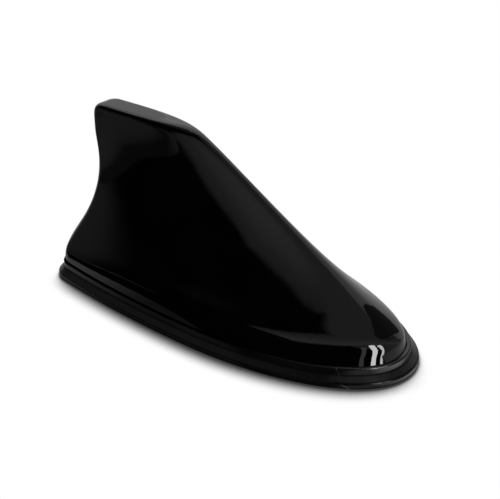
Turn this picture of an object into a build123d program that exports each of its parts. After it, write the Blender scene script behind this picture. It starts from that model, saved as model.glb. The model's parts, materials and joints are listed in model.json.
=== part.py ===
from build123d import *
import os
from math import atan2, cos, pi, sin, sqrt
from typing import NamedTuple

# Shark fin aerial for a car roof, in millimetres. The nose points along +X and the gasket stands on Z = 0.
# The gasket and pad rest on the roof, the base tray sits inside the gasket, and the fin closes over both.

# Overall size of the gasket's foot and height of the fin's flat top
base_length = 160.0
base_width = 72.4
fin_top = 72.2

# Rubber gasket: an upright foot, a sloping shoulder and a bead below the fin's edge
foot_height = 2.0
shoulder_height = 4.2
gasket_height = 6.8
flange_rear = 2.3
flange_side = 3.4
flange_nose = 4.9
bead_rear = 0.7
bead_side = 0.7
bead_nose = 1.7
gasket_lip = 2.0
gasket_edge_round = 0.7

# Moulded fin: its plan at the lower edge, and how the plan changes on the way up
tail_half_width = 26.9
top_half_width = 5.7
side_flare = 34.2
side_flare_power = 2.0
tail_flare = 24.9
tail_flare_power = 2.43
skirt_draft = 0.07
skirt_round = 0.8
nose_crease_round = 0.1
nose_lean = 0.28
waist_depth = 7.6
waist_height = 41.0
waist_radius = 42.0
waist_round = 1.2
ridge_overrun = 7.4
ridge_run_per_rise = 1.575
ridge_bend = 1.9
top_crown = 0.35
nose_radius = 17.6
nose_radius_power = 5.5
ridge_radius = 1.4
edge_widest_share = 0.526
top_widest_share = 0.366
edge_corner_radius = 7.9
top_corner_radius = 3.0
largest_corner_share = 0.7
bluntest_nose_share = 0.9
top_edge_round = 1.5
tip_round = 4.6
fin_wall = 2.2
section_count = 18

# Screw posts inside the fin and the screws that hold it to the tray
rear_post_gap = 10.0
rear_post_y = 15.5
front_post_gap = 14.0
front_post_y = 11.0
post_radius = 3.5
post_bottom = 8.6
cover_pilot_radius = 1.3
cover_shank_radius = 1.25
cover_screw_bite = 6.0
cover_head_radius = 2.5
cover_head_height = 1.8
pilot_spare = 1.5

# Ribs inside the fin that steady the upright board
rear_rib_inset = 31.4
front_rib_inset = 59.4
guide_rib_thickness = 1.6
guide_rib_bottom = 34.0
guide_gap = 1.6

# Base tray
tray_bottom = 1.6
tray_floor = 4.6
tray_edge_inset = 0.4
rim_height = 10.0
rim_wall = 1.6
rim_clearance = 0.4
screw_boss_radius = 4.0
head_recess_depth = 3.4
head_recess_clearance = 0.3
shank_clearance = 0.2
part_clearance = 0.15

# Foam pad
pad_inset = 1.2

# Ground sheet
ground_thickness = 0.5
ground_width = 40.0
ground_corner = 4.0
ground_gap = 2.0

# Amplifier board and its screws
board_length = 86.0
board_width = 34.0
board_thickness = 1.6
board_corner = 3.0
board_x = -7.0
board_underside = 10.0
board_screw_inset = 4.5
board_post_radius = 2.75
board_pilot_radius = 0.95
board_shank_radius = 0.9
board_screw_length = 6.0
board_head_radius = 1.9
board_head_height = 1.4
board_pilot_spare = 0.4
part_gap = 2.5

# Upright radiator board, its copper and its foot
radiator_thickness = 1.2
radiator_seat = 2.4
radiator_step = 20.0
radiator_rear_inset = 21.4
radiator_sweep = 4.0
radiator_nose_inset = 50.4
radiator_ridge_gap = 11.8
radiator_corner = 3.0
tongue_length = 36.0
bracket_length = 42.0
bracket_width = 12.0
bracket_height = 8.0
bracket_base = 2.0
bracket_wall = 2.0
slot_clearance = 0.05
trace_thickness = 0.2
trace_width = 2.0
trace_bars = 7
trace_margin = 3.0
trace_cap_gap = 5.0

# Folded cap on the radiator's top edge
cap_sheet = 0.4
cap_leg = 6.0
cap_margin = 3.5
cap_headroom = 5.6

# Feed leaf between the amplifier board and the radiator's copper
feed_sheet = 0.3
feed_width = 3.0
feed_foot = 4.0
feed_bracket_gap = 1.5
feed_rise_past_step = 6.0

# Shielded amplifier
can_length = 22.0
can_width = 18.0
can_height = 5.0
can_sheet = 0.4
can_corner = 1.0
can_vent_radius = 0.8
can_vent_pitch = 4.0
can_vent_rows = 3
chip_side = 5.0
chip_height = 1.0
chip_bevel = 0.15

# Small parts on the amplifier board
capacitor_length = 2.0
capacitor_width = 1.25
capacitor_height = 0.9
capacitor_count = 6
capacitor_pitch = 6.0
capacitor_setback = 13.0
capacitor_y = -10.5
coil_radius = 3.0
coil_core_radius = 2.2
coil_height = 4.5
coil_flange = 0.8
coil_setback = 11.0
coil_y = 11.0
coil_pitch = 12.0
coil_count = 2
can_capacitor_radius = 3.15
can_capacitor_height = 5.8
can_capacitor_base = 1.0
can_capacitor_crimp = 0.4
can_capacitor_y = 10.5

# Cable socket on the front edge of the board
socket_length = 7.0
socket_width = 7.0
socket_height = 6.0
socket_setback = 0.5
barrel_radius = 2.1
barrel_length = 5.0
barrel_bore = 1.5
socket_pin_radius = 0.5

# Leaf contacts between the ground sheet and the board
contact_sheet = 0.3
contact_width = 3.0
contact_foot = 2.5
contact_step = 3.0
contact_x = 22.0
contact_y = 9.0

# Cable grommet in the tray, ahead of the board
grommet_gap = 12.0
grommet_radius = 4.5
grommet_flange_radius = 6.0
grommet_lower_flange = 1.2
grommet_upper_flange = 1.6
grommet_bore_radius = 1.75
grommet_round = 0.4
grommet_pad_clearance = 0.6

# Lines worked out from the sizes above
cover_rear = flange_rear - base_length / 2
cover_nose = base_length / 2 - flange_nose
cover_half_width = base_width / 2 - flange_side
ridge_slant = sqrt(1 + ridge_run_per_rise**2)
inner_ridge_foot = cover_nose + ridge_overrun - fin_wall * ridge_slant
board_top = board_underside + board_thickness
board_rear = board_x - board_length / 2
board_front = board_x + board_length / 2
rear_post_x = board_rear - rear_post_gap
front_post_x = board_front + front_post_gap
grommet_x = board_front + grommet_gap
ground_top = tray_floor + ground_thickness
ground_rear = rear_post_x + screw_boss_radius + ground_gap
ground_front = grommet_x - grommet_flange_radius - ground_gap
head_seat = tray_bottom + head_recess_depth
head_recess_radius = cover_head_radius + head_recess_clearance
board_pilot_depth = board_screw_length - board_thickness + board_pilot_spare
board_screw_reach = board_length / 2 - board_screw_inset
socket_front = board_front - socket_setback
can_x = socket_front - socket_length - part_gap - can_length / 2
feed_x = can_x - can_length / 2 - part_gap - feed_width / 2
tongue_middle = feed_x - feed_width / 2 - feed_bracket_gap - bracket_length / 2
can_capacitor_x = board_x - board_screw_reach + board_head_radius + part_gap + can_capacitor_radius
radiator_bottom = board_top + radiator_seat
radiator_top = fin_top - fin_wall - cap_headroom - cap_sheet
radiator_rear_foot = cover_rear + radiator_rear_inset
radiator_rear_top = radiator_rear_foot - radiator_sweep
radiator_front_foot = cover_nose - radiator_nose_inset
radiator_front_rise = ridge_run_per_rise * (radiator_top - gasket_height)
radiator_front_top = inner_ridge_foot - radiator_front_rise - radiator_ridge_gap
cover_posts = [
    (x, side * y)
    for x, y in ((rear_post_x, rear_post_y), (front_post_x, front_post_y))
    for side in (-1, 1)
]
board_posts = [
    (board_x + end * board_screw_reach, side * (board_width / 2 - board_screw_inset))
    for end in (-1, 1)
    for side in (-1, 1)
]


class FinPlan(NamedTuple):
    """The fin's plan at one height, which is the same on both sides of the centre line."""

    rear: float
    tail: float
    corner: float
    widest_x: float
    widest: float
    nose: float
    nose_radius: float


def softened_least(first, second, blend):
    """The lesser of two lengths, with the corner between them rounded off."""
    return (first + second) / 2 - sqrt(((first - second) / 2) ** 2 + blend**2)


def edge_roll(depth, radius):
    """How far a rounded upper edge has moved inwards at a depth below the top."""
    past_round = max(radius - depth, 0)
    return radius - sqrt(radius**2 - past_round**2)


def fin_plan(height, inset=0.0):
    """The fin's plan at a height, moved inwards by a wall."""
    top = fin_top - inset
    climb = (height - gasket_height) / (top - gasket_height)
    left = 1 - climb
    draft = skirt_draft * (height - gasket_height)
    side_skirt = cover_half_width - draft
    side_flank = top_half_width + side_flare * left**side_flare_power
    tail_skirt = tail_half_width - draft
    tail_flank = top_half_width + tail_flare * left**tail_flare_power
    waist = cover_rear + waist_depth - waist_radius + sqrt(waist_radius**2 - (height - waist_height) ** 2)
    ridge_height = height + ridge_bend**2 / (top + top_crown - height)
    ridge_foot = cover_nose + ridge_overrun - inset * ridge_slant
    ridge = ridge_foot - ridge_run_per_rise * (ridge_height - gasket_height)
    roll = edge_roll(top - height, top_edge_round)
    waisted_rear = -softened_least(-cover_rear - draft, -waist, waist_round)
    rear = waisted_rear + inset + edge_roll(top - height, tip_round)
    tail = softened_least(tail_skirt, tail_flank, skirt_round) - inset - roll
    nose_front = cover_nose - inset - nose_lean * (height - gasket_height)
    nose = softened_least(nose_front, ridge, nose_crease_round)
    widest_share = edge_widest_share + (top_widest_share - edge_widest_share) * climb
    corner = edge_corner_radius + (top_corner_radius - edge_corner_radius) * sqrt(climb)
    return FinPlan(
        rear=rear,
        tail=tail,
        corner=min(corner, largest_corner_share * tail),
        widest_x=rear + widest_share * (nose - rear),
        widest=softened_least(side_skirt, side_flank, skirt_round) - inset - roll,
        nose=nose,
        nose_radius=ridge_radius + (nose_radius - ridge_radius) * left**nose_radius_power,
    )


def edge_plan(rear_out, side_out, nose_out):
    """The fin's plan at its lower edge, moved outwards by set amounts at the rear, the sides and the nose."""
    plan = fin_plan(gasket_height)
    return plan._replace(
        rear=cover_rear - rear_out,
        tail=tail_half_width + side_out,
        corner=plan.corner + rear_out,
        widest=cover_half_width + side_out,
        nose=cover_nose + nose_out,
        nose_radius=plan.nose_radius + nose_out,
    )


def plan_face(plan, height):
    """A flat face of a plan: a straight rear, two rounded corners, bowed sides and a round nose."""
    rear_run = plan.widest_x - plan.rear - plan.corner
    front_run = plan.nose - plan.widest_x
    bow = atan2(2 * (plan.widest - plan.tail), rear_run)
    corner_end = plan.rear + plan.corner * (1 - sin(bow))
    corner_start = plan.tail - plan.corner * cos(bow)
    rear_handle = rear_run / 3
    front_handle = front_run / 2
    nose_handle = min(sqrt(2 / 3 * plan.nose_radius * front_handle), bluntest_nose_share * plan.widest)
    with BuildSketch(Plane.XY.offset(height)) as section:
        with BuildLine():
            TangentArc((plan.rear, corner_start), (corner_end, plan.tail), tangent=(0, 1))
            Bezier(
                (corner_end, plan.tail),
                (corner_end + rear_handle * cos(bow), plan.tail + rear_handle * sin(bow)),
                (plan.widest_x - rear_handle, plan.widest),
                (plan.widest_x, plan.widest),
            )
            Bezier(
                (plan.widest_x, plan.widest),
                (plan.widest_x + front_handle, plan.widest),
                (plan.nose, nose_handle),
                (plan.nose, 0),
            )
            mirror(about=Plane.XZ)
            Line((plan.rear, -corner_start), (plan.rear, corner_start))
        make_face()
    return section.sketch


def fin_sections(inset=0.0):
    """Faces of the fin from its lower edge to its flat top, closer together towards both ends."""
    rise = fin_top - inset - gasket_height
    shares = [(1 - cos(pi * step / section_count)) / 2 for step in range(section_count + 1)]
    heights = [gasket_height + share * rise for share in shares]
    return [plan_face(fin_plan(height, inset), height) for height in heights]


def edge_face(outward, height):
    """A face of the fin's lower edge moved outwards evenly, at a height."""
    return plan_face(edge_plan(outward, outward, outward), height)


os.makedirs("parts", exist_ok=True)
on_base = (Align.CENTER, Align.CENTER, Align.MIN)
below_base = (Align.CENTER, Align.CENTER, Align.MAX)

# Moulded fin: a lofted skin, hollow inside, with screw posts and guide ribs left standing in the hollow
with BuildPart() as hollow:
    loft(sections=fin_sections(fin_wall))
    with Locations(*[(x, y, post_bottom) for x, y in cover_posts]):
        Cylinder(post_radius, fin_top, align=on_base, mode=Mode.SUBTRACT)
    for rib_x in (cover_rear + rear_rib_inset, cover_rear + front_rib_inset):
        for rib_y in (-guide_gap - base_width / 2, guide_gap + base_width / 2):
            with Locations((rib_x, rib_y, guide_rib_bottom)):
                Box(guide_rib_thickness, base_width, fin_top, align=on_base, mode=Mode.SUBTRACT)

with BuildPart() as fin_cover:
    loft(sections=fin_sections())
    add(hollow.part, mode=Mode.SUBTRACT)
    with Locations(*[(x, y, post_bottom) for x, y in cover_posts]):
        Cylinder(cover_pilot_radius, cover_screw_bite + pilot_spare, align=on_base, mode=Mode.SUBTRACT)

# Rubber gasket: one moulding with a flaring foot, a bead below the fin's edge and a lip over the tray
foot_plan = edge_plan(flange_rear, flange_side, flange_nose)
bead_plan = edge_plan(bead_rear, bead_side, bead_nose)
with BuildPart() as base_gasket:
    extrude(to_extrude=plan_face(foot_plan, 0), amount=foot_height)
    loft(sections=[plan_face(foot_plan, foot_height), plan_face(bead_plan, shoulder_height)], ruled=True)
    extrude(to_extrude=plan_face(bead_plan, shoulder_height), amount=gasket_height - shoulder_height)
    fillet(base_gasket.edges().filter_by_position(Axis.Z, gasket_height, gasket_height), gasket_edge_round)
    fillet(base_gasket.edges().filter_by_position(Axis.Z, foot_height, foot_height), gasket_edge_round)
    extrude(to_extrude=edge_face(part_clearance - tray_edge_inset, 0), amount=tray_floor, mode=Mode.SUBTRACT)
    extrude(to_extrude=edge_face(-gasket_lip, 0), amount=gasket_height, mode=Mode.SUBTRACT)

# Base tray: a floor with a locating rim, bosses for the fin's screws and posts for the board
rim_inset = fin_wall + rim_clearance
rim_outside = plan_face(fin_plan(rim_height, rim_inset), tray_floor)
rim_inside = plan_face(fin_plan(rim_height, rim_inset + rim_wall), tray_floor)
with BuildPart() as base_plate:
    extrude(to_extrude=edge_face(-tray_edge_inset, tray_bottom), amount=tray_floor - tray_bottom)
    extrude(to_extrude=rim_outside, amount=rim_height - tray_floor)
    extrude(to_extrude=rim_inside, amount=rim_height - tray_floor, mode=Mode.SUBTRACT)
    with Locations(*[(x, y, tray_floor) for x, y in cover_posts]):
        Cylinder(screw_boss_radius, post_bottom - tray_floor, align=on_base)
    with Locations(*[(x, y, tray_bottom) for x, y in cover_posts]):
        Cylinder(head_recess_radius, head_recess_depth, align=on_base, mode=Mode.SUBTRACT)
        Cylinder(cover_shank_radius + shank_clearance, rim_height, align=on_base, mode=Mode.SUBTRACT)
    with Locations(*[(x, y, tray_floor) for x, y in board_posts]):
        Cylinder(board_post_radius, board_underside - tray_floor, align=on_base)
    with Locations(*[(x, y, board_underside) for x, y in board_posts]):
        Cylinder(board_pilot_radius, board_pilot_depth, align=below_base, mode=Mode.SUBTRACT)
    with Locations((grommet_x, 0, tray_bottom)):
        Cylinder(grommet_radius + part_clearance, tray_floor, align=on_base, mode=Mode.SUBTRACT)

# Foam pad that sticks the aerial to the roof, open round the cable grommet
pad_hole_radius = grommet_flange_radius + grommet_pad_clearance
with BuildPart() as adhesive_pad:
    extrude(to_extrude=edge_face(-pad_inset, 0), amount=tray_bottom)
    with Locations((grommet_x, 0, 0)):
        Cylinder(pad_hole_radius, tray_bottom, align=on_base, mode=Mode.SUBTRACT)

# Screws from below through the tray into the fin's posts
with BuildPart() as cover_screws:
    with Locations(*[(x, y, head_seat) for x, y in cover_posts]):
        Cylinder(cover_head_radius, cover_head_height, align=below_base)
        Cylinder(cover_shank_radius, post_bottom - head_seat + cover_screw_bite, align=on_base)
    chamfer(cover_screws.edges().group_by(Axis.Z)[0], length=cover_head_height / 4)

# Rubber bush that the cable leaves through
grommet_foot = tray_bottom - grommet_lower_flange
grommet_top = tray_floor + grommet_upper_flange
with BuildPart() as cable_grommet:
    with BuildSketch(Plane.XZ):
        with BuildLine():
            Polyline(
                (grommet_x + grommet_bore_radius, grommet_foot),
                (grommet_x + grommet_flange_radius, grommet_foot),
                (grommet_x + grommet_flange_radius, tray_bottom),
                (grommet_x + grommet_radius, tray_bottom),
                (grommet_x + grommet_radius, tray_floor),
                (grommet_x + grommet_flange_radius, tray_floor),
                (grommet_x + grommet_flange_radius, grommet_top),
                (grommet_x + grommet_bore_radius, grommet_top),
                close=True,
            )
        make_face()
    revolve(axis=Axis((grommet_x, 0, 0), (0, 0, 1)))
    fillet(cable_grommet.edges().group_by(Axis.Z)[-1].sort_by(SortBy.RADIUS)[-1], grommet_round)

# Ground sheet on the tray's floor, pierced by the board's posts
with BuildPart() as ground_plate:
    with BuildSketch(Plane.XY.offset(tray_floor)):
        with Locations(((ground_rear + ground_front) / 2, 0)):
            RectangleRounded(ground_front - ground_rear, ground_width, ground_corner)
        with Locations(*board_posts):
            Circle(board_post_radius + shank_clearance, mode=Mode.SUBTRACT)
    extrude(amount=ground_thickness)

# Amplifier board on the tray's posts
with BuildPart() as amplifier_board:
    with BuildSketch(Plane.XY.offset(board_underside)):
        with Locations((board_x, 0)):
            RectangleRounded(board_length, board_width, board_corner)
        with Locations(*board_posts):
            Circle(board_shank_radius + shank_clearance, mode=Mode.SUBTRACT)
    extrude(amount=board_thickness)

with BuildPart() as board_screws:
    with Locations(*[(x, y, board_top) for x, y in board_posts]):
        Cylinder(board_head_radius, board_head_height, align=on_base)
        Cylinder(board_shank_radius, board_screw_length, align=below_base)
    chamfer(board_screws.edges().group_by(Axis.Z)[-1], length=board_head_height / 4)

# Leaf contacts from the ground sheet up to the board's underside
contact_rise = board_underside - ground_top
contact_length = 2 * contact_foot + contact_step
with BuildPart() as ground_contacts:
    for contact_end in (-1, 1):
        for contact_side in (-1, 1):
            leaf_plane = Plane(
                origin=(board_x + contact_end * contact_x, contact_side * contact_y, ground_top),
                x_dir=(1, 0, 0),
                z_dir=(0, -1, 0),
            )
            with BuildSketch(leaf_plane):
                with BuildLine():
                    Polyline(
                        (0, 0),
                        (contact_foot, 0),
                        (contact_foot + contact_step, contact_rise - contact_sheet),
                        (contact_length, contact_rise - contact_sheet),
                        (contact_length, contact_rise),
                        (contact_foot + contact_step, contact_rise),
                        (contact_foot, contact_sheet),
                        (0, contact_sheet),
                        close=True,
                    )
                make_face()
            extrude(amount=contact_width / 2, both=True)

# Upright radiator board, a fin-shaped sheet that stands in its bracket on a tongue
with BuildPart() as radiator_board:
    with BuildSketch(Plane.XZ):
        with BuildLine():
            Polyline(
                (radiator_rear_foot, radiator_step),
                (radiator_rear_top, radiator_top),
                (radiator_front_top, radiator_top),
                (radiator_front_foot, radiator_step),
                close=True,
            )
        blade = make_face()
        fillet(blade.vertices(), radiator_corner)
        with Locations((tongue_middle, radiator_bottom)):
            Rectangle(tongue_length, radiator_step - radiator_bottom, align=(Align.CENTER, Align.MIN))
    extrude(amount=radiator_thickness / 2, both=True)

# Copper meander on one side of the radiator board
front_lean = (radiator_front_foot - radiator_front_top) / (radiator_top - radiator_step)
cap_bottom = radiator_top - cap_leg
trace_pitch = (cap_bottom - radiator_step - trace_margin - trace_cap_gap) / (trace_bars - 1)
bar_heights = [radiator_step + trace_margin + bar * trace_pitch for bar in range(trace_bars)]
bar_rear = radiator_rear_foot + trace_margin
bar_fronts = [
    radiator_front_foot - front_lean * (height - radiator_step) - 2 * trace_margin for height in bar_heights
]
with BuildPart() as radiator_trace:
    with BuildSketch(Plane.XZ.offset(-radiator_thickness / 2)):
        for height, front in zip(bar_heights, bar_fronts):
            with Locations((bar_rear, height)):
                Rectangle(front - bar_rear, trace_width, align=(Align.MIN, Align.CENTER))
        for bar, height in enumerate(bar_heights[:-1]):
            link_x = bar_fronts[bar + 1] - trace_width if bar % 2 == 0 else bar_rear
            with Locations((link_x, height)):
                Rectangle(trace_width, trace_pitch, align=Align.MIN)
        with Locations((bar_rear, bar_heights[-1])):
            Rectangle(trace_width, cap_bottom - bar_heights[-1], align=Align.MIN)
    extrude(amount=-trace_thickness)

# Folded cap over the radiator's top edge
with BuildPart() as top_load_plate:
    with Locations(((radiator_rear_top + radiator_front_top) / 2, 0, cap_bottom)):
        cap_length = radiator_front_top - radiator_rear_top - 2 * cap_margin
        Box(cap_length, radiator_thickness + 2 * cap_sheet, cap_leg + cap_sheet, align=on_base)
        Box(cap_length, radiator_thickness, cap_leg, align=on_base, mode=Mode.SUBTRACT)

# Moulded bracket that holds the radiator's tongue upright on the amplifier board
slot_width = radiator_thickness + 2 * slot_clearance
with BuildPart() as radiator_bracket:
    with Locations((tongue_middle, 0, board_top)):
        Box(bracket_length, bracket_width, bracket_base, align=on_base)
        Box(bracket_length, slot_width + 2 * bracket_wall, bracket_height, align=on_base)
    with Locations((tongue_middle, 0, radiator_bottom)):
        Box(tongue_length + 2 * slot_clearance, slot_width, bracket_height, align=on_base, mode=Mode.SUBTRACT)

# Feed leaf from the amplifier board up to the copper
leaf_face = radiator_thickness / 2 + trace_thickness
leaf_top = radiator_step + feed_rise_past_step
with BuildPart() as feed_spring:
    with Locations((feed_x, leaf_face, board_top)):
        Box(feed_width, feed_sheet, leaf_top - board_top, align=(Align.CENTER, Align.MIN, Align.MIN))
        Box(feed_width, feed_sheet + feed_foot, feed_sheet, align=(Align.CENTER, Align.MIN, Align.MIN))

# Folded can over the amplifier, with vent holes in its lid
with BuildPart() as shield_can:
    with BuildSketch(Plane.XY.offset(board_top)):
        with Locations((can_x, 0)):
            RectangleRounded(can_length, can_width, can_corner)
    extrude(amount=can_height)
    offset(amount=-can_sheet, openings=shield_can.faces().sort_by(Axis.Z)[0])
    with Locations((can_x, 0, board_top)):
        with GridLocations(can_vent_pitch, can_vent_pitch, can_vent_rows, can_vent_rows):
            Cylinder(can_vent_radius, 2 * can_height, align=on_base, mode=Mode.SUBTRACT)

with BuildPart() as amplifier_chip:
    with Locations((can_x, 0, board_top)):
        Box(chip_side, chip_side, chip_height, align=on_base)
    chamfer(amplifier_chip.faces().sort_by(Axis.Z)[-1].edges(), chip_bevel)

# Small parts on the amplifier board
with BuildPart() as chip_capacitors:
    with Locations((board_x - capacitor_setback, capacitor_y, board_top)):
        with GridLocations(capacitor_pitch, capacitor_pitch, capacitor_count, 1):
            Box(capacitor_length, capacitor_width, capacitor_height, align=on_base)

with BuildPart() as filter_coils:
    with Locations((board_x - coil_setback, coil_y, board_top)):
        with GridLocations(coil_pitch, coil_pitch, coil_count, 1):
            Cylinder(coil_core_radius, coil_height, align=on_base)
            Cylinder(coil_radius, coil_flange, align=on_base)
    with Locations((board_x - coil_setback, coil_y, board_top + coil_height)):
        with GridLocations(coil_pitch, coil_pitch, coil_count, 1):
            Cylinder(coil_radius, coil_flange, align=below_base)

with BuildPart() as electrolytic_capacitor:
    with Locations((can_capacitor_x, can_capacitor_y, board_top)):
        Box(2 * can_capacitor_radius, 2 * can_capacitor_radius, can_capacitor_base, align=on_base)
        Cylinder(can_capacitor_radius, can_capacitor_height, align=on_base)
    fillet(electrolytic_capacitor.edges().group_by(Axis.Z)[-1], can_capacitor_crimp)

# Coaxial socket on the board's front edge, facing the grommet
with BuildPart() as cable_socket:
    with Locations((socket_front, 0, board_top)):
        Box(socket_length, socket_width, socket_height, align=(Align.MAX, Align.CENTER, Align.MIN))
    with BuildSketch(Plane(origin=(socket_front, 0, board_top + socket_height / 2), z_dir=(1, 0, 0))):
        Circle(barrel_radius)
        Circle(barrel_bore, mode=Mode.SUBTRACT)
        Circle(socket_pin_radius)
    extrude(amount=barrel_length)

pieces = {
    "fin_cover": fin_cover,
    "base_gasket": base_gasket,
    "base_plate": base_plate,
    "adhesive_pad": adhesive_pad,
    "cover_screws": cover_screws,
    "cable_grommet": cable_grommet,
    "ground_plate": ground_plate,
    "amplifier_board": amplifier_board,
    "board_screws": board_screws,
    "ground_contacts": ground_contacts,
    "radiator_board": radiator_board,
    "radiator_trace": radiator_trace,
    "top_load_plate": top_load_plate,
    "radiator_bracket": radiator_bracket,
    "feed_spring": feed_spring,
    "shield_can": shield_can,
    "amplifier_chip": amplifier_chip,
    "chip_capacitors": chip_capacitors,
    "filter_coils": filter_coils,
    "electrolytic_capacitor": electrolytic_capacitor,
    "cable_socket": cable_socket,
}
for label, piece in pieces.items():
    piece.part.label = label
    export_step(piece.part, f"parts/{label}.step")
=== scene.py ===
"""Shark fin aerial on a white table: finishes, moulding marks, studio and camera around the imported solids."""

import json
import logging
import math
from dataclasses import dataclass
from enum import Enum
from typing import Union

import bmesh
import bpy
from mathutils import Matrix, Quaternion, Vector


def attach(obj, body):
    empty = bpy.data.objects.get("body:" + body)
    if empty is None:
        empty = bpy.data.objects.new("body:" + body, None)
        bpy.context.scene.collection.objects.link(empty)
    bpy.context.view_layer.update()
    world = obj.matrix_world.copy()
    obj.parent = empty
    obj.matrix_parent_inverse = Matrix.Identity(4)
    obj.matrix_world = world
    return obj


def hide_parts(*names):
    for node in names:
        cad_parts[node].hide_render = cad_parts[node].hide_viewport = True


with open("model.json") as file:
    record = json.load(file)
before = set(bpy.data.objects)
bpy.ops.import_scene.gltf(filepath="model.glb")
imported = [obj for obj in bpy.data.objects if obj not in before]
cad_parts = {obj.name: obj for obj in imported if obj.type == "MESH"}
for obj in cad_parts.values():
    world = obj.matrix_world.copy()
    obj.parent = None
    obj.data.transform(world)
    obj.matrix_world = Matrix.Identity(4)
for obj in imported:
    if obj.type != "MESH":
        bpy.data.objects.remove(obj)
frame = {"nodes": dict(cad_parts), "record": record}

LOG = logging.getLogger("shark_fin_aerial")
MM = 0.001
BODY = "root"
MERGE_REACH = 0.001 * MM
FLAT_FACE = 0.9999
BLACK = (0.0, 0.0, 0.0, 1.0)
WHITE = (1.0, 1.0, 1.0, 1.0)
QUARTER_TURN = 90.0

Socket = bpy.types.NodeSocket
Value = Union[float, tuple, Socket]


class Slot(Enum):
    """The record's material slots."""

    GLOSS_SHELL = "gloss_shell"
    BLACK_RUBBER = "black_rubber"
    TRAY_PLASTIC = "tray_plastic"
    FOAM = "foam"
    SCREW_STEEL = "screw_steel"
    GROUND_SHEET = "ground_sheet"
    CIRCUIT_BOARD = "circuit_board"
    COPPER = "copper"
    TINNED_SHEET = "tinned_sheet"
    CHIP_BODY = "chip_body"
    CERAMIC_BODY = "ceramic_body"
    CAPACITOR_CAN = "capacitor_can"
    GOLD_PLATE = "gold_plate"


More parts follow.
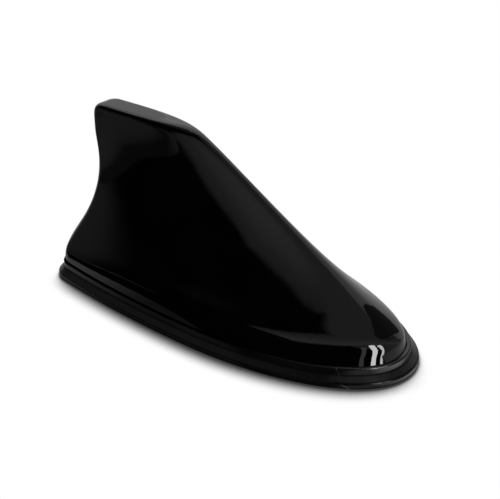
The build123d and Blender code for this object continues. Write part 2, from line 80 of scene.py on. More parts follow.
class NodeSheet:
    """A node tree that is being written, with short calls for the nodes that the finishes share."""

    def __init__(self, tree: bpy.types.NodeTree) -> None:
        """Keep the tree.

        Args:
            tree: the node tree of a material or of the world.
        """
        self.tree = tree

    def add(self, kind: str, **settings: object) -> bpy.types.Node:
        """Add a node.

        Args:
            kind: the node's type.
            settings: attributes to set on it.

        Returns:
            The new node.
        """
        node = self.tree.nodes.new(kind)
        for key, value in settings.items():
            setattr(node, key, value)
        return node

    def feed(self, socket: Socket, value: Value) -> None:
        """Link a socket to an output, or set it where the value is a constant.

        Args:
            socket: the input.
            value: an output socket or a constant.
        """
        if isinstance(value, bpy.types.NodeSocket):
            self.tree.links.new(value, socket)
        else:
            socket.default_value = value

    def place(self) -> Socket:
        """Object coordinates, in metres."""
        return self.add("ShaderNodeTexCoord").outputs["Object"]

    def axis(self, name: str) -> Socket:
        """One of the Object coordinates, in metres.

        Args:
            name: X, Y or Z.

        Returns:
            The coordinate.
        """
        split = self.add("ShaderNodeSeparateXYZ")
        self.feed(split.inputs[0], self.place())
        return split.outputs[name]

    def aim(self) -> Socket:
        """The direction from the origin to the point that is shaded.

        Returns:
            The direction, of length 1.
        """
        node = self.add("ShaderNodeVectorMath", operation="NORMALIZE")
        self.feed(node.inputs[0], self.place())
        return node.outputs["Vector"]

    def stretched(self, scale: tuple, move: tuple = (0.0, 0.0, 0.0)) -> Socket:
        """Object coordinates that are stretched along an axis and then moved.

        Args:
            scale: the factor on each axis.
            move: how far they are moved.

        Returns:
            The new coordinates.
        """
        mapping = self.add("ShaderNodeMapping")
        self.feed(mapping.inputs["Vector"], self.place())
        mapping.inputs["Scale"].default_value = scale
        mapping.inputs["Location"].default_value = move
        return mapping.outputs["Vector"]

    def length(self, vector: Socket) -> Socket:
        """How long a vector is.

        Args:
            vector: the vector.

        Returns:
            Its length.
        """
        node = self.add("ShaderNodeVectorMath", operation="LENGTH")
        self.feed(node.inputs[0], vector)
        return node.outputs["Value"]

    def noise(self, scale: float, detail: float = 2.0, where: Union[Socket, None] = None) -> Socket:
        """Smooth noise from 0 to 1.

        Args:
            scale: features in a metre.
            detail: octaves.
            where: coordinates, or None for Object coordinates.

        Returns:
            The noise.
        """
        node = self.add("ShaderNodeTexNoise")
        self.feed(node.inputs["Vector"], where or self.place())
        node.inputs["Scale"].default_value = scale
        node.inputs["Detail"].default_value = detail
        return node.outputs["Fac"]

    def cells(self, scale: float, where: Union[Socket, None] = None) -> Socket:
        """Distance to the nearest of scattered points.

        Args:
            scale: cells in a metre.
            where: coordinates, or None for Object coordinates.

        Returns:
            The distance, in cells.
        """
        node = self.add("ShaderNodeTexVoronoi")
        self.feed(node.inputs["Vector"], where or self.place())
        node.inputs["Scale"].default_value = scale
        return node.outputs["Distance"]

    def spread(self, value: Socket, source: tuple, result: tuple) -> Socket:
        """Map one range to another, held at its ends.

        Args:
            value: what is mapped.
            source: its low and high.
            result: the low and high that come out.

        Returns:
            The mapped value.
        """
        node = self.add("ShaderNodeMapRange", interpolation_type="SMOOTHSTEP")
        self.feed(node.inputs["Value"], value)
        node.inputs["From Min"].default_value = source[0]
        node.inputs["From Max"].default_value = source[1]
        node.inputs["To Min"].default_value = result[0]
        node.inputs["To Max"].default_value = result[1]
        return node.outputs["Result"]

    def sums(self, operation: str, first: Value, second: Value = 0.0) -> Socket:
        """An operation on one or two numbers.

        Args:
            operation: the operation's name.
            first: the first number.
            second: the second number, which some operations leave out.

        Returns:
            The outcome.
        """
        node = self.add("ShaderNodeMath", operation=operation)
        self.feed(node.inputs[0], first)
        self.feed(node.inputs[1], second)
        return node.outputs["Value"]

    def along(self, vector: Socket, direction: tuple) -> Socket:
        """How far a vector goes in a direction.

        Args:
            vector: the vector.
            direction: the direction, of any length.

        Returns:
            The length along it.
        """
        node = self.add("ShaderNodeVectorMath", operation="DOT_PRODUCT")
        self.feed(node.inputs[0], vector)
        node.inputs[1].default_value = Vector(direction).normalized()
        return node.outputs["Value"]

    def blend(self, share: Value, first: Value, second: Value) -> Socket:
        """A mix of two colours.

        Args:
            share: how much of the second.
            first: the first colour.
            second: the second colour.

        Returns:
            The mixed colour.
        """
        node = self.add("ShaderNodeMix", data_type="RGBA")
        self.feed(node.inputs[0], share)
        self.feed(node.inputs[6], first)
        self.feed(node.inputs[7], second)
        return node.outputs[2]

    def shade(self, reach: float, samples: int) -> bpy.types.Node:
        """A node for how open a point is to its surroundings.

        Args:
            reach: how far off a thing can be and still shade it, in metres.
            samples: rays from each point.

        Returns:
            The node.
        """
        node = self.add("ShaderNodeAmbientOcclusion", samples=samples)
        node.inputs["Distance"].default_value = reach
        return node

    def bump(self, height: Socket, depth: float, below: Union[Socket, None] = None) -> Socket:
        """A surface that rises with a height.

        Args:
            height: from 0 to 1.
            depth: metres between the two.
            below: a bump that this one lies on.

        Returns:
            The normal.
        """
        node = self.add("ShaderNodeBump")
        node.inputs["Strength"].default_value = 1.0
        node.inputs["Distance"].default_value = depth
        self.feed(node.inputs["Height"], height)
        if below is not None:
            self.feed(node.inputs["Normal"], below)
        return node.outputs["Normal"]


@dataclass(frozen=True)
class Finish:
    """A finish with a colour that drifts, a roughness that varies and a grain.

    Scales are features in a metre and details are octaves. Ranges are the part of the noise that is used, and
    depths are in metres.
    """

    name: str
    colour: tuple
    drift_colour: tuple
    roughness: tuple
    metallic: float = 0.0
    specular: float = 0.5
    drift_scale: float = 60.0
    rough_scale: float = 220.0
    grain_scale: float = 2400.0
    grain_depth: float = 0.00001
    brush: tuple = (1.0, 1.0, 1.0)
    drift_detail: float = 3.0
    drift_range: tuple = (0.35, 0.65)
    rough_detail: float = 4.0
    rough_range: tuple = (0.3, 0.7)

    def material(self) -> bpy.types.Material:
        """Make the material.

        Returns:
            The material.
        """
        material = bpy.data.materials.new(self.name)
        material.use_nodes = True
        sheet = NodeSheet(material.node_tree)
        shader = material.node_tree.nodes["Principled BSDF"]
        shader.inputs["Metallic"].default_value = self.metallic
        sheet.feed(shader.inputs["Specular IOR Level"], self.gleam(sheet))
        sheet.feed(shader.inputs["Base Color"], self.tint(sheet))
        sheet.feed(shader.inputs["Roughness"], self.sheen(sheet))
        sheet.feed(shader.inputs["Normal"], self.relief(sheet))
        return material

    def tint(self, sheet: NodeSheet) -> Socket:
        """The colour, which drifts between two shades."""
        share = sheet.spread(sheet.noise(self.drift_scale, self.drift_detail), self.drift_range, (0.0, 1.0))
        return sheet.blend(share, (*self.colour, 1.0), (*self.drift_colour, 1.0))

    def gleam(self, sheet: NodeSheet) -> Value:
        """How much the surface mirrors."""
        return self.specular

    def sheen(self, sheet: NodeSheet) -> Socket:
        """The roughness."""
        return sheet.spread(sheet.noise(self.rough_scale, self.rough_detail), self.rough_range, self.roughness)

    def relief(self, sheet: NodeSheet) -> Socket:
        """The grain."""
        grain = sheet.noise(self.grain_scale, where=sheet.stretched(self.brush))
        return sheet.bump(grain, self.grain_depth)


@dataclass(frozen=True)
class DustedFinish(Finish):
    """A finish with a few pale specks of dust on it."""

    dust_colour: tuple = (0.2, 0.2, 0.2)
    dust_scale: float = 240.0
    dust_reach: float = 0.035
    dust_share: float = 0.57
    dust_edge: float = 0.04
    dust_patch: float = 9.0
    dust_tint: float = 0.35

    def dust(self, sheet: NodeSheet, amount: float) -> Socket:
        """Small specks, of which only some show.

        Args:
            sheet: the node tree.
            amount: the value at a speck.

        Returns:
            The amount at specks, and 0 elsewhere.
        """
        speck = sheet.spread(sheet.cells(self.dust_scale), (0.0, self.dust_reach), (amount, 0.0))
        patches = sheet.noise(self.dust_scale / self.dust_patch)
        some = sheet.spread(patches, (self.dust_share, self.dust_share + self.dust_edge), (0.0, 1.0))
        return sheet.sums("MULTIPLY", speck, some)

    def tint(self, sheet: NodeSheet) -> Socket:
        """The drifting colour, with pale specks."""
        specks = self.dust(sheet, self.dust_tint)
        return sheet.blend(specks, super().tint(sheet), (*self.dust_colour, 1.0))


@dataclass(frozen=True)
class GlossMoulding(DustedFinish):
    """Lacquered gloss moulding: a slow wave in its skin, faint wipe marks and a few specks of dust."""

    rough_detail: float = 5.0
    rough_range: tuple = (0.45, 0.75)
    wipe: tuple = (0.35, 1.0, 1.0)
    dust_rough: float = 0.5
    wave_scale: float = 60.0
    wave_detail: float = 1.0
    wave_depth: float = 0.00002

    def sheen(self, sheet: NodeSheet) -> Socket:
        """A roughness that rises on wipe marks and on dust.

        Args:
            sheet: the node tree.

        Returns:
            The roughness.
        """
        wiped = sheet.noise(self.rough_scale, self.rough_detail, sheet.stretched(self.wipe))
        base = sheet.spread(wiped, self.rough_range, self.roughness)
        return sheet.sums("ADD", base, self.dust(sheet, self.dust_rough))

    def relief(self, sheet: NodeSheet) -> Socket:
        """The slow wave of a moulded skin."""
        return sheet.bump(sheet.noise(self.wave_scale, self.wave_detail), self.wave_depth)


@dataclass(frozen=True)
class CreaseShade:
    """A line of painted shade at one height, with sizes in metres and the share of light left in it.

    It is darkest out to half its half width. Where it has ends, it is whole up to the first along X, and it
    fades to nothing at the second.
    """

    height: float
    half_width: float
    light: float
    ends: tuple = ()

    def painted_light_left(self, sheet: NodeSheet) -> Socket:
        """How much light the painted shade leaves.

        Args:
            sheet: the node tree.

        Returns:
            1 away from the line, and the share of light in it.
        """
        # Painted shade: colour and gleam are darkened near this height, where the joint would lie in shadow.
        off = sheet.sums("ABSOLUTE", sheet.sums("SUBTRACT", sheet.axis("Z"), self.height))
        open_share = sheet.spread(off, (self.half_width / 2.0, self.half_width), (self.light, 1.0))
        if not self.ends:
            return open_share
        past_end = sheet.spread(sheet.axis("X"), self.ends, (0.0, 1.0))
        return sheet.sums("MAXIMUM", open_share, past_end)


@dataclass(frozen=True)
class MouldedRubber(DustedFinish):
    """Moulded rubber: a fine grain, faint flow lines, and painted shade where its tiers meet."""

    flow_scale: float = 900.0
    flow_detail: float = 3.0
    flow_stretch: tuple = (0.04, 1.0, 1.0)
    flow_depth: float = 0.000006
    # Painted shade: lines at the tier joints, and along the foot's edge by the nose, where it also dims the
    # gleam.
    crease_shades: tuple = (
        CreaseShade(height=4.0 * MM, half_width=0.26 * MM, light=0.4),
        CreaseShade(height=6.8 * MM, half_width=0.42 * MM, light=0.0, ends=(22.0 * MM, 45.0 * MM)),
        CreaseShade(height=6.8 * MM, half_width=0.08 * MM, light=0.0, ends=(54.0 * MM, 66.0 * MM)),
        CreaseShade(height=2.1 * MM, half_width=0.5 * MM, light=0.35, ends=(68.0 * MM, 58.0 * MM)),
    )

    def painted_light_left(self, sheet: NodeSheet) -> Socket:
        """How much light the painted crease shade leaves.

        Args:
            sheet: the node tree.

        Returns:
            1 on the open rubber, and less in the painted shade of the creases.
        """
        share = 1.0
        for shade_line in self.crease_shades:
            share = sheet.sums("MULTIPLY", shade_line.painted_light_left(sheet), share)
        return share

    def tint(self, sheet: NodeSheet) -> Socket:
        """The dusted colour, darkened by painted shade in the creases."""
        return sheet.blend(self.painted_light_left(sheet), BLACK, super().tint(sheet))

    def gleam(self, sheet: NodeSheet) -> Value:
        """A gleam that the painted shade in the creases takes away."""
        return sheet.sums("MULTIPLY", self.painted_light_left(sheet), self.specular)

    def relief(self, sheet: NodeSheet) -> Socket:
        """The grain and the flow lines, one on the other."""
        flow = sheet.noise(self.flow_scale, self.flow_detail, sheet.stretched(self.flow_stretch))
        return sheet.bump(flow, self.flow_depth, super().relief(sheet))


@dataclass(frozen=True)
class CellFoam(Finish):
    """Closed-cell foam: round cells, cut open at its faces."""

    cell_scale: float = 1500.0
    cell_range: tuple = (0.1, 0.6)
    cell_depth: float = 0.00012

    def relief(self, sheet: NodeSheet) -> Socket:
        """Hollows of the cells over a soft grain."""
        hollow = sheet.spread(sheet.cells(self.cell_scale), self.cell_range, (0.0, 1.0))
        return sheet.bump(hollow, self.cell_depth, super().relief(sheet))


GLOSS_SHELL = GlossMoulding(
    "gloss_shell", (0.0003, 0.0003, 0.00032), (0.0005, 0.0005, 0.00052), (0.03, 0.08), dust_share=0.6
)
BLACK_RUBBER = MouldedRubber(
    "black_rubber", (0.0015, 0.0015, 0.0017), (0.0026, 0.0026, 0.0028), (0.17, 0.25),
    specular=0.4, grain_scale=1900.0, grain_depth=0.000015,
)
TRAY_PLASTIC = Finish(
    "tray_plastic", (0.012, 0.012, 0.0125), (0.018, 0.018, 0.019), (0.45, 0.6), grain_scale=3200.0
)
FOAM = CellFoam("foam", (0.03, 0.03, 0.031), (0.045, 0.045, 0.046), (0.85, 0.95), specular=0.2)
SCREW_STEEL = Finish(
    "screw_steel", (0.5, 0.5, 0.51), (0.6, 0.6, 0.6), (0.25, 0.4), metallic=1.0, brush=(1.0, 8.0, 1.0)
)
GROUND_SHEET = Finish(
    "ground_sheet", (0.66, 0.66, 0.67), (0.74, 0.74, 0.75), (0.28, 0.42), metallic=1.0, brush=(0.05, 1.0, 1.0)
)
CIRCUIT_BOARD = Finish("circuit_board", (0.008, 0.07, 0.03), (0.012, 0.1, 0.04), (0.3, 0.42), grain_scale=900.0)
COPPER = Finish("copper", (0.72, 0.36, 0.18), (0.6, 0.28, 0.14), (0.25, 0.4), metallic=1.0)
TINNED_SHEET = Finish("tinned_sheet", (0.66, 0.66, 0.63), (0.74, 0.74, 0.72), (0.25, 0.38), metallic=1.0)
CHIP_BODY = Finish("chip_body", (0.01, 0.01, 0.011), (0.015, 0.015, 0.015), (0.55, 0.7), grain_scale=5000.0)
CERAMIC_BODY = Finish("ceramic_body", (0.42, 0.3, 0.18), (0.5, 0.36, 0.22), (0.4, 0.55))
CAPACITOR_CAN = Finish("capacitor_can", (0.72, 0.72, 0.73), (0.78, 0.78, 0.79), (0.2, 0.34), metallic=1.0)
GOLD_PLATE = Finish("gold_plate", (0.8, 0.58, 0.22), (0.86, 0.66, 0.3), (0.2, 0.32), metallic=1.0)

SLOT_FINISHES = {
    Slot.GLOSS_SHELL: GLOSS_SHELL,
    Slot.BLACK_RUBBER: BLACK_RUBBER,
    Slot.TRAY_PLASTIC: TRAY_PLASTIC,
    Slot.FOAM: FOAM,
    Slot.SCREW_STEEL: SCREW_STEEL,
    Slot.GROUND_SHEET: GROUND_SHEET,
    Slot.CIRCUIT_BOARD: CIRCUIT_BOARD,
    Slot.COPPER: COPPER,
    Slot.TINNED_SHEET: TINNED_SHEET,
    Slot.CHIP_BODY: CHIP_BODY,
    Slot.CERAMIC_BODY: CERAMIC_BODY,
    Slot.CAPACITOR_CAN: CAPACITOR_CAN,
    Slot.GOLD_PLATE: GOLD_PLATE,
}


def cut_away(form: bmesh.types.BMesh, point: Vector, normal: Vector, keep: bool = False) -> None:
    """Cut a shape by a plane, and drop the side that a direction points to unless both are kept.

    Args:
        form: the shape.
        point: a point on the plane.
        normal: the direction.
        keep: whether both sides stay.
    """
    everything = form.verts[:] + form.edges[:] + form.faces[:]
    bmesh.ops.bisect_plane(form, geom=everything, plane_co=point, plane_no=normal, clear_outer=not keep)


class Stock:
    """The frame's solids by name, and the finish of each slot."""

    def __init__(self, record: dict, nodes: dict) -> None:
        """Read which slot each node takes.

        Args:
            record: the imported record.
            nodes: the frame's objects by name.
        """
        self.nodes = nodes
        self.slots = {part["node"]: Slot(part["material_slot"]) for part in record["subparts"]}
        self.made: dict = {}

    def finish(self, slot: Slot) -> bpy.types.Material:
        """The material of a slot, made once.

        Args:
            slot: the slot.

        Returns:
            Its material.
        """
        if slot not in self.made:
            self.made[slot] = SLOT_FINISHES[slot].material()
        return self.made[slot]

    def dress(self, names: tuple) -> None:
        """Give some nodes the finish of their slots.

        Args:
            names: the nodes.
        """
        for name in names:
            material = self.finish(self.slots[name])
            mesh = self.nodes[name].data
            mesh.materials.clear()
            mesh.materials.append(material)
            LOG.info("dressed %s as %s", name, material.name)

    def copy(self, name: str) -> bmesh.types.BMesh:
        """A copy of a node's mesh, merged where its faces meet.

        Args:
            name: the node.

        Returns:
            The copy.
        """
        form = bmesh.new()
        form.from_mesh(self.nodes[name].data)
        bmesh.ops.remove_doubles(form, verts=form.verts[:], dist=MERGE_REACH)
        return form

    def add(self, name: str, form: bmesh.types.BMesh, slot: Slot) -> bpy.types.Object:
        """Put a finished shape beside the solids, on the body that they share.

        Args:
            name: the object's name.
            form: the shape.
            slot: the slot that it takes.

        Returns:
            The object.
        """
        for face in form.faces:
            face.smooth = abs(face.normal.z) < FLAT_FACE
        mesh = bpy.data.meshes.new(name)
        form.to_mesh(mesh)
        form.free()
        mesh.materials.append(self.finish(slot))
        made = bpy.data.objects.new(name, mesh)
        bpy.context.scene.collection.objects.link(made)
        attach(made, BODY)
        LOG.info("made %s with %d faces", name, len(mesh.polygons))
        return made


@dataclass
class FinShell:
    """The glossy fin, one moulding."""

    nodes: tuple = ("fin_cover",)

    def build(self, stock: Stock) -> None:
        """Dress the fin."""
        stock.dress(self.nodes)


@dataclass
class Gasket:
    """The rubber gasket, with a raised mould seam across it by the nose.

    A slant is how far the seam runs towards the nose for each unit that it falls, above and below its bend.
    """

    node: str = "base_gasket"
    seam_middle: float = 62.6 * MM
    seam_bend: float = 3.0 * MM
    slant_above: float = 0.46
    slant_below: float = 1.58
    seam_half_width: float = 0.2 * MM
    seam_rise: float = 0.10 * MM
    seam_root: float = 0.04 * MM
    seam_skin: float = 0.03 * MM
    seam_inner: float = -20.0 * MM
    seam_lowest: float = 0.35 * MM

    def build(self, stock: Stock) -> None:
        """Dress the gasket and raise its seam."""
        stock.dress((self.node,))
        stock.add("gasket_seam", self.seam(stock), Slot.BLACK_RUBBER)

    def seam_place(self, height: float) -> float:
        """Where the seam is along X, which bends towards the nose below one height.

        Args:
            height: the height above the table.

        Returns:
            The seam's middle along X.
        """
        slant = self.slant_below if height < self.seam_bend else self.slant_above
        return self.seam_middle + (self.seam_bend - height) * slant

    def seam(self, stock: Stock) -> bmesh.types.BMesh:
        """A thin ridge that follows the gasket's outer face.

        The gasket is sheared until the seam is straight, cut to the ridge's width and sheared back.

        Args:
            stock: the frame's solids.

        Returns:
            The ridge.
        """
        form = stock.copy(self.node)
        to_nose = Vector((1.0, 0.0, 0.0))
        step = to_nose * self.seam_half_width
        cut_away(form, Vector((0.0, 0.0, self.seam_bend)), Vector((0.0, 0.0, 1.0)), keep=True)
        for vertex in form.verts:
            vertex.co.x -= self.seam_place(vertex.co.z)
        cut_away(form, step, to_nose)
        cut_away(form, -step, -to_nose)
        cut_away(form, Vector((0.0, self.seam_inner, 0.0)), Vector((0.0, 1.0, 0.0)))
        cut_away(form, Vector((0.0, 0.0, self.seam_lowest)), Vector((0.0, 0.0, -1.0)))
        cut_away(form, Vector(), to_nose, keep=True)
        on_crest = [abs(vertex.co.x) < self.seam_half_width / 2.0 for vertex in form.verts]
        for vertex in form.verts:
            vertex.co.x += self.seam_place(vertex.co.z)
        form.normal_update()
        for vertex, crest in zip(form.verts, on_crest):
            vertex.co += vertex.normal * (self.seam_rise if crest else -self.seam_root)
        bmesh.ops.solidify(form, geom=form.faces[:], thickness=self.seam_skin)
        bmesh.ops.recalc_face_normals(form, faces=form.faces[:])
        return form


@dataclass
class FoamPad:
    """The foam pad below the tray, die cut, with edges that the knife has drawn in."""

    node: str = "adhesive_pad"
    edge_round: float = 0.5 * MM
    edge_steps: int = 4
    edge_profile: float = 0.5
    sharp_angle: float = math.radians(60.0)
    flat_angle: float = math.radians(0.5)

    def build(self, stock: Stock) -> None:
        """Dress the solid, and make the pad from it with softened edges.

        Args:
            stock: the frame's solids.
        """
        stock.dress((self.node,))
        form = stock.copy(self.node)
        bmesh.ops.dissolve_limit(
            form, angle_limit=self.flat_angle, verts=form.verts[:], edges=form.edges[:],
            use_dissolve_boundaries=False,
        )
        cut_edges = [edge for edge in form.edges if edge.calc_face_angle(0.0) > self.sharp_angle]
        bmesh.ops.bevel(
            form, geom=cut_edges, offset=self.edge_round, offset_type="OFFSET", affect="EDGES",
            segments=self.edge_steps, profile=self.edge_profile, material=-1, clamp_overlap=True,
        )
        doubled = [vertex for vertex in form.verts if len(vertex.link_edges) == 2]
        bmesh.ops.dissolve_verts(form, verts=doubled)
        form.normal_update()
        pad = stock.add("foam_pad", form, Slot.FOAM)
        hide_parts(self.node)


@dataclass
class Tray:
    """The tray below the fin, with its screws, ground sheet, contacts and cable bush."""

    nodes: tuple = ("base_plate", "cover_screws", "ground_plate", "ground_contacts", "cable_grommet")

    def build(self, stock: Stock) -> None:
        """Dress the tray's pieces."""
        stock.dress(self.nodes)


@dataclass
class Radiator:
    """The upright board in the fin, with its copper and what holds and feeds it."""

    nodes: tuple = ("radiator_board", "radiator_trace", "top_load_plate", "radiator_bracket", "feed_spring")

    def build(self, stock: Stock) -> None:
        """Dress the radiator's pieces."""
        stock.dress(self.nodes)


@dataclass
class Circuit:
    """The amplifier board and what stands on it, with the wire that is wound on its coils."""

    nodes: tuple = (
        "amplifier_board", "board_screws", "shield_can", "amplifier_chip", "chip_capacitors", "filter_coils",
        "electrolytic_capacitor", "cable_socket",
    )
    coil_node: str = "filter_coils"
    wire_radius: float = 0.3 * MM
    wire_sides: int = 10
    wire_reach: float = 2.52 * MM
    turns: int = 4
    steps_in_turn: int = 36
    flange: float = 0.8 * MM

    def build(self, stock: Stock) -> None:
        """Dress the board and wind its coils."""
        stock.dress(self.nodes)
        stock.add("coil_windings", self.windings(stock), Slot.COPPER)

    def windings(self, stock: Stock) -> bmesh.types.BMesh:
        """A helix of wire round each coil.

        Args:
            stock: the frame's solids.

        Returns:
            The wire of both coils.
        """
        spots = [vertex.co for vertex in stock.nodes[self.coil_node].data.vertices]
        low = Vector([min(spot[axis] for spot in spots) for axis in range(3)])
        high = Vector([max(spot[axis] for spot in spots) for axis in range(3)])
        half = (high.y - low.y) / 2.0
        first_turn = low.z + self.flange + self.wire_radius
        rise = (high.z - low.z - 2.0 * self.flange - 2.0 * self.wire_radius) / self.turns
        form = bmesh.new()
        for x in (low.x + half, high.x - half):
            self.wind(form, Vector((x, low.y + half, first_turn)), rise)
        return form

    def wind(self, form: bmesh.types.BMesh, start: Vector, rise: float) -> None:
        """Wind one coil.

        Args:
            form: what the wire is added to.
            start: the coil's axis at the height of the first turn.
            rise: how far each turn climbs.
        """
        upright = Matrix.Rotation(math.radians(QUARTER_TURN), 4, "X")
        place = Matrix.Translation(start + Vector((self.wire_reach, 0.0, 0.0))) @ upright
        ring = bmesh.ops.create_circle(
            form, cap_ends=True, segments=self.wire_sides, radius=self.wire_radius, matrix=place
        )["verts"]
        edges = [edge for edge in form.edges if edge.verts[0] in ring]
        steps = self.turns * self.steps_in_turn
        bmesh.ops.spin(
            form, geom=edges, cent=start, axis=(0.0, 0.0, 1.0), dvec=(0.0, 0.0, rise / self.steps_in_turn),
            angle=2.0 * math.pi * self.turns, steps=steps, use_merge=False, use_duplicate=False,
        )
        rim = [edge for edge in form.edges if edge.is_boundary]
        bmesh.ops.holes_fill(form, edges=rim, sides=0)
        bmesh.ops.recalc_face_normals(form, faces=form.faces[:])


def heading(azimuth: float, elevation: float) -> Vector:
    """A direction.

    Args:
        azimuth: degrees round from +X towards +Y.
        elevation: degrees above the table.

    Returns:
        The direction, of length 1.
    """
    turn, rise = math.radians(azimuth), math.radians(elevation)
    return Vector((math.cos(rise) * math.cos(turn), math.cos(rise) * math.sin(turn), math.sin(rise)))


@dataclass(frozen=True)
class Patch:
    """A soft round patch of light on the room's wall, as the aerial sees it, with angles in degrees."""

    azimuth: float
    elevation: float
    radius: float
    softness: float
    level: float

    def light(self, sheet: NodeSheet, aim: Socket) -> Socket:
        """The patch's light in a direction.

        Args:
            sheet: the node tree.
            aim: the direction.

        Returns:
            Its level inside the patch, and 0 outside.
        """
        edge = math.cos(math.radians(self.radius + self.softness))
        inside = math.cos(math.radians(self.radius - self.softness))
        nearness = sheet.along(aim, heading(self.azimuth, self.elevation))
        return sheet.spread(nearness, (edge, inside), (0.0, self.level))


@dataclass(frozen=True)
class Pane:
    """A tall pane of a window ahead of the nose, with angles in degrees, sizes in metres and power in watts."""

    name: str
    azimuth: float
    elevation: float
    lean: float
    width: float
    height: float
    power: float


@dataclass(frozen=True)
class Card:
    """A dark card beside the aerial that only the gloss mirrors, with sizes in metres."""

    name: str
    centre: tuple
    across: tuple
    along: tuple
    size: tuple
    level: float

    def place(self) -> Matrix:
        """Where a square of side 1 goes to become the card.

        Returns:
            The placing.
        """
        across, along = Vector(self.across).normalized(), Vector(self.along).normalized()
        facing = across.cross(along)
        turn = Matrix((across * self.size[0], along * self.size[1], facing)).transposed()
        return Matrix.Translation(self.centre) @ turn.to_4x4()


@dataclass
class Studio:
    """A white table and backdrop, a window, and the mat, room and cards that the gloss mirrors.

    Sizes are in metres and azimuths in degrees. A range whose name ends in edge is where one level gives way
    to the next.
    """

    floor_reach: float = 4.0
    floor_drop: float = 0.02 * MM
    mat_lift: float = 0.0002
    mat_front: float = -20.0
    mat_sides: int = 128
    pale_middle: float = -0.045
    pale_half: tuple = (0.105, 0.050)
    pale_edge: tuple = (0.98, 1.02)
    pale_run: tuple = (-0.095, -0.030)
    pale_rest: float = 0.08
    glare_middle: tuple = (0.091, -0.004)
    glare_reach: tuple = (0.008, 0.024)
    glare_level: float = 1.7
    mat_shadow_reach: float = 0.008
    mat_shadow_range: tuple = (0.55, 0.92)
    mat_shadow_level: float = 0.2
    mat_shadow_samples: int = 16
    pale_level: float = 0.43
    grey_near: tuple = (0.19, 0.29)
    grey_far: tuple = (0.30, 0.60)
    grey_level: float = 0.15
    grey_floor: float = 0.04
    far_band: tuple = (0.5, 0.9)
    far_edge: tuple = (-0.06, 0.16)
    far_level: float = 0.2
    open_level: float = 0.45
    open_edge: tuple = (-0.05, 0.05)
    room_radius: float = 2.2
    room_segments: tuple = (96, 48)
    shoulder_plane: tuple = (-0.8285, 0.4513, 0.3315)
    rear_azimuth: float = -148.0
    dark_level: float = 0.002
    band_edge: tuple = (-0.05, 0.0)
    band_edge_level: float = 0.19
    band_rise: tuple = (-0.22, -0.02)
    band_rise_level: float = 0.23
    band_ends: tuple = (-0.30, -0.21)
    rear_level: float = 0.12
    rear_edge: tuple = (-0.12, 0.11)
    wobble: float = 0.02
    wobble_scale: float = 1.6
    wobble_detail: float = 4.0
    patches: tuple = (
        Patch(azimuth=135.0, elevation=10.0, radius=44.0, softness=6.0, level=0.6),
        Patch(azimuth=122.0, elevation=50.0, radius=30.0, softness=6.0, level=1.0),
        Patch(azimuth=-178.0, elevation=54.0, radius=34.0, softness=6.0, level=0.12),
        Patch(azimuth=72.0, elevation=48.0, radius=17.0, softness=4.0, level=0.58),
        Patch(azimuth=82.0, elevation=18.0, radius=22.0, softness=6.0, level=0.5),
        Patch(azimuth=5.0, elevation=66.0, radius=25.0, softness=3.0, level=0.24),
        Patch(azimuth=25.0, elevation=15.0, radius=30.0, softness=8.0, level=0.26),
    )
    panes: tuple = (
        Pane("window_wide", azimuth=-17.0, elevation=28.0, lean=-9.5, width=0.22, height=1.68, power=15.0),
        Pane("window_narrow", azimuth=-2.5, elevation=24.0, lean=-10.0, width=0.15, height=1.6, power=8.0),
        Pane("window_side", azimuth=-34.0, elevation=26.0, lean=-9.5, width=0.15, height=1.6, power=0.5),
    )
    cards: tuple = (
        Card(
            "nose_card", centre=(0.1249, 0.0859, 0.1170), across=(-0.8307, -0.4798, 0.2823),
            along=(0.4849, -0.3746, 0.7903), size=(0.0372, 0.2126), level=0.06,
        ),
        Card(
            "side_card", centre=(-0.005, -0.090, 0.030), across=(1.0, 0.0, 0.0),
            along=(0.0, 0.0, 1.0), size=(0.130, 0.058), level=0.003,
        ),
    )
    pane_share: float = 0.75
    ambient: float = 0.62
    shadow_reach: float = 0.014
    shadow_tilt: tuple = (-0.475, 0.600, 0.643)
    shadow_range: tuple = (0.51, 0.86)
    shadow_level: float = 0.05
    shadow_samples: int = 32
    paper: tuple = (0.8, 0.8, 0.8, 1.0)
    sensor: float = 36.0
    clip: tuple = (0.01, 50.0)
    lens: float = 72.29
    shift: tuple = (0.022, 0.025)
    look_at: tuple = (0.0, 0.0, 0.020)
    look_from: tuple = (0.5443, -0.6875, 0.4807)
    look_distance: float = 0.400

    def build(self) -> None:
        """Make the stage, the light and the camera."""
        bpy.context.scene.view_settings.view_transform = "Standard"
        self.floor()
        self.mat()
        self.room()
        for card in self.cards:
            self.flag(card)
        self.world()
        for pane in self.panes:
            self.window(pane)
        self.camera()

    @staticmethod
    def seen_directly(sheet: NodeSheet) -> Socket:
        """Tell straight looks at a surface from light that is scattered on it.

        Args:
            sheet: the node tree.

        Returns:
            1 where the camera, a reflection or a clear piece looks straight at it.
        """
        path = sheet.add("ShaderNodeLightPath")
        camera_or_gloss = sheet.sums("MAXIMUM", path.outputs["Is Camera Ray"], path.outputs["Is Glossy Ray"])
        return sheet.sums("MAXIMUM", camera_or_gloss, path.outputs["Is Transmission Ray"])

    @staticmethod
    def keep(name: str, form: bmesh.types.BMesh, material: bpy.types.Material) -> bpy.types.Object:
        """Put a finished shape on the stage.

        Args:
            name: the object's name.
            form: the shape.
            material: its material.

        Returns:
            The object.
        """
        mesh = bpy.data.meshes.new(name)
        form.to_mesh(mesh)
        form.free()
        mesh.materials.append(material)
        made = bpy.data.objects.new(name, mesh)
        bpy.context.scene.collection.objects.link(made)
        return made

    @staticmethod
    def only_in_reflections(made: bpy.types.Object) -> None:
        """Hide a stage piece from everything but reflections.

        Args:
            made: the piece.
        """
        made.visible_camera = False
        made.visible_diffuse = False
        made.visible_shadow = False
        made.visible_transmission = False
        made.visible_volume_scatter = False

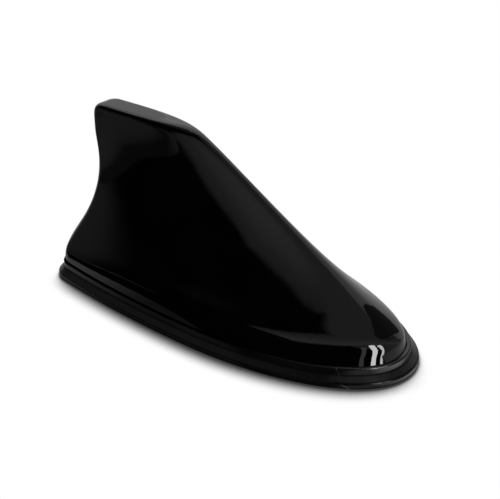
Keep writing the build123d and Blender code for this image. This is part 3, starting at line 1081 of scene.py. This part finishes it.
    @staticmethod
    def glow(name: str) -> tuple:
        """Start a material that only glows.

        Args:
            name: the material's name.

        Returns:
            The material, its sheet and the socket of its strength.
        """
        material = bpy.data.materials.new(name)
        material.use_nodes = True
        material.cycles.emission_sampling = "NONE"
        sheet = NodeSheet(material.node_tree)
        nodes = material.node_tree.nodes
        nodes.remove(nodes["Principled BSDF"])
        light = sheet.add("ShaderNodeEmission")
        sheet.feed(nodes["Material Output"].inputs["Surface"], light.outputs[0])
        return material, sheet, light.inputs["Strength"]

    def floor(self) -> None:
        """A white table with a shadow where the gasket meets it, clear from below."""
        form = bmesh.new()
        bmesh.ops.create_grid(form, x_segments=1, y_segments=1, size=self.floor_reach)
        bmesh.ops.translate(form, vec=(0.0, 0.0, -self.floor_drop), verts=form.verts[:])
        material, sheet, strength = self.glow("white_table")
        shade = sheet.shade(self.shadow_reach, self.shadow_samples)
        lean = sheet.add("ShaderNodeCombineXYZ")
        for socket, share in zip(lean.inputs, self.shadow_tilt):
            socket.default_value = share
        sheet.feed(shade.inputs["Normal"], lean.outputs["Vector"])
        sheet.feed(strength, sheet.spread(shade.outputs["AO"], self.shadow_range, (self.shadow_level, 1.0)))
        paper = sheet.add("ShaderNodeBsdfDiffuse")
        paper.inputs["Color"].default_value = self.paper
        mix = sheet.add("ShaderNodeMixShader")
        sheet.feed(mix.inputs[0], self.seen_directly(sheet))
        sheet.feed(mix.inputs[1], paper.outputs[0])
        sheet.feed(mix.inputs[2], strength.node.outputs[0])
        from_below = sheet.add("ShaderNodeMixShader")
        sheet.feed(from_below.inputs[0], sheet.add("ShaderNodeNewGeometry").outputs["Backfacing"])
        sheet.feed(from_below.inputs[1], mix.outputs[0])
        sheet.feed(from_below.inputs[2], sheet.add("ShaderNodeBsdfTransparent").outputs[0])
        sheet.feed(material.node_tree.nodes["Material Output"].inputs["Surface"], from_below.outputs[0])
        self.keep("white_table", form, material)

    def mat(self) -> None:
        """A mat, dark on the camera's side, pale by the tail and nose and grey further off, for gloss."""
        form = bmesh.new()
        bmesh.ops.create_circle(form, cap_ends=True, segments=self.mat_sides, radius=self.room_radius)
        bmesh.ops.translate(form, vec=(0.0, 0.0, self.mat_lift), verts=form.verts[:])
        material, sheet, strength = self.glow("dark_mat")
        distance = sheet.length(sheet.place())
        begins = sheet.spread(distance, self.grey_near, (0.0, 1.0))
        ends = sheet.spread(distance, self.grey_far, (self.grey_level, self.grey_floor))
        grey = sheet.sums("MULTIPLY", begins, ends)
        half_length, half_width = self.pale_half
        squeeze = (1.0 / half_length, 1.0 / half_width, 0.0)
        squeezed = sheet.stretched(squeeze, (-self.pale_middle / half_length, 0.0, 0.0))
        strip = sheet.spread(sheet.length(squeezed), self.pale_edge, (1.0, 0.0))
        run = sheet.spread(sheet.axis("X"), self.pale_run, (self.pale_level, self.pale_rest))
        pale = sheet.sums("MULTIPLY", strip, run)
        lit = sheet.sums("MAXIMUM", grey, pale)
        from_glare = sheet.stretched((1.0, 1.0, 0.0), (-self.glare_middle[0], -self.glare_middle[1], 0.0))
        glare = sheet.spread(sheet.length(from_glare), self.glare_reach, (self.glare_level, 0.0))
        lit = sheet.sums("MAXIMUM", lit, glare)
        aim = sheet.aim()
        far = sheet.spread(distance, self.far_band, (0.0, self.far_level))
        band = sheet.spread(sheet.along(aim, self.shoulder_plane), self.far_edge, (1.0, 0.0))
        lit = sheet.sums("MAXIMUM", lit, sheet.sums("MULTIPLY", far, band))
        for azimuth in (self.mat_front + QUARTER_TURN, QUARTER_TURN):
            past_front = sheet.along(aim, heading(azimuth, 0.0))
            side = sheet.spread(past_front, self.open_edge, (self.dark_level, self.open_level))
            lit = sheet.sums("MAXIMUM", lit, side)
        shade = sheet.shade(self.mat_shadow_reach, self.mat_shadow_samples)
        shadow = sheet.spread(shade.outputs["AO"], self.mat_shadow_range, (self.mat_shadow_level, 1.0))
        sheet.feed(strength, sheet.sums("MULTIPLY", lit, shadow))
        self.only_in_reflections(self.keep("dark_mat", form, material))

    def room(self) -> None:
        """A dark room with a grey band that leans over the camera's side and some lit patches, for gloss."""
        form = bmesh.new()
        around, upwards = self.room_segments
        bmesh.ops.create_uvsphere(form, u_segments=around, v_segments=upwards, radius=self.room_radius)
        cut_away(form, Vector(), Vector((0.0, 0.0, -1.0)))
        material, sheet, strength = self.glow("room_side")
        aim = sheet.aim()
        waves = sheet.noise(self.wobble_scale, self.wobble_detail)
        wobble = sheet.spread(waves, (0.0, 1.0), (-self.wobble, self.wobble))
        across = sheet.sums("ADD", sheet.along(aim, self.shoulder_plane), wobble)
        edge = sheet.spread(across, self.band_edge, (self.band_edge_level, 0.0))
        rise = sheet.spread(across, self.band_rise, (self.band_rise_level, 0.0))
        ends = sheet.spread(across, self.band_ends, (0.0, 1.0))
        band = sheet.sums("MULTIPLY", sheet.sums("ADD", edge, rise), ends)
        sideways = sheet.along(aim, heading(self.rear_azimuth + QUARTER_TURN, 0.0))
        past_rear = sheet.sums("ADD", sideways, wobble)
        rear = sheet.spread(past_rear, self.rear_edge, (self.rear_level, self.dark_level))
        lit = sheet.sums("MAXIMUM", band, rear)
        for patch in self.patches:
            lit = sheet.sums("MAXIMUM", lit, patch.light(sheet, aim))
        sheet.feed(strength, lit)
        self.only_in_reflections(self.keep("room_side", form, material))

    def flag(self, card: Card) -> None:
        """Stand a dark card beside the aerial, for gloss only.

        Args:
            card: the card.
        """
        form = bmesh.new()
        bmesh.ops.create_grid(form, x_segments=1, y_segments=1, size=0.5, matrix=card.place())
        material, _, strength = self.glow(card.name)
        strength.default_value = card.level
        self.only_in_reflections(self.keep(card.name, form, material))

    def world(self) -> None:
        """A white backdrop, and an even light from all round."""
        world = bpy.data.worlds.new("backdrop")
        bpy.context.scene.world = world
        world.use_nodes = True
        sheet = NodeSheet(world.node_tree)
        sky = world.node_tree.nodes["Background"]
        sky.inputs["Color"].default_value = WHITE
        strength = sheet.spread(self.seen_directly(sheet), (0.0, 1.0), (self.ambient, 1.0))
        sheet.feed(sky.inputs["Strength"], strength)

    def window(self, pane: Pane) -> None:
        """A soft light from one pane of the window.

        Args:
            pane: the pane.
        """
        data = bpy.data.lights.new(pane.name, "AREA")
        data.shape = "RECTANGLE"
        data.size = pane.width
        data.size_y = pane.height
        data.energy = pane.power
        lamp = bpy.data.objects.new(pane.name, data)
        bpy.context.scene.collection.objects.link(lamp)
        way = heading(pane.azimuth, pane.elevation)
        lamp.location = way * self.room_radius * self.pane_share
        facing = (-way).to_track_quat("-Z", "Y")
        lamp.rotation_euler = (facing @ Quaternion((0.0, 0.0, 1.0), math.radians(pane.lean))).to_euler()
        lamp.visible_camera = False

    def camera(self) -> None:
        """The camera at the photograph's angle."""
        data = bpy.data.cameras.new("camera")
        data.sensor_width = self.sensor
        data.lens = self.lens
        data.shift_x, data.shift_y = self.shift
        data.clip_start, data.clip_end = self.clip
        camera = bpy.data.objects.new("camera", data)
        bpy.context.scene.collection.objects.link(camera)
        back = Vector(self.look_from).normalized()
        camera.location = Vector(self.look_at) + back * self.look_distance
        camera.rotation_euler = back.to_track_quat("Z", "Y").to_euler()
        bpy.context.scene.camera = camera


def main() -> None:
    """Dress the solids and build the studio."""
    logging.basicConfig(level=logging.INFO, format="%(name)s: %(message)s")
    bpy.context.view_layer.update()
    stock = Stock(frame["record"], frame["nodes"])
    for assembly in (FinShell(), Gasket(), FoamPad(), Tray(), Circuit(), Radiator()):
        assembly.build(stock)
    Studio().build()


if __name__ == "__main__":
    main()
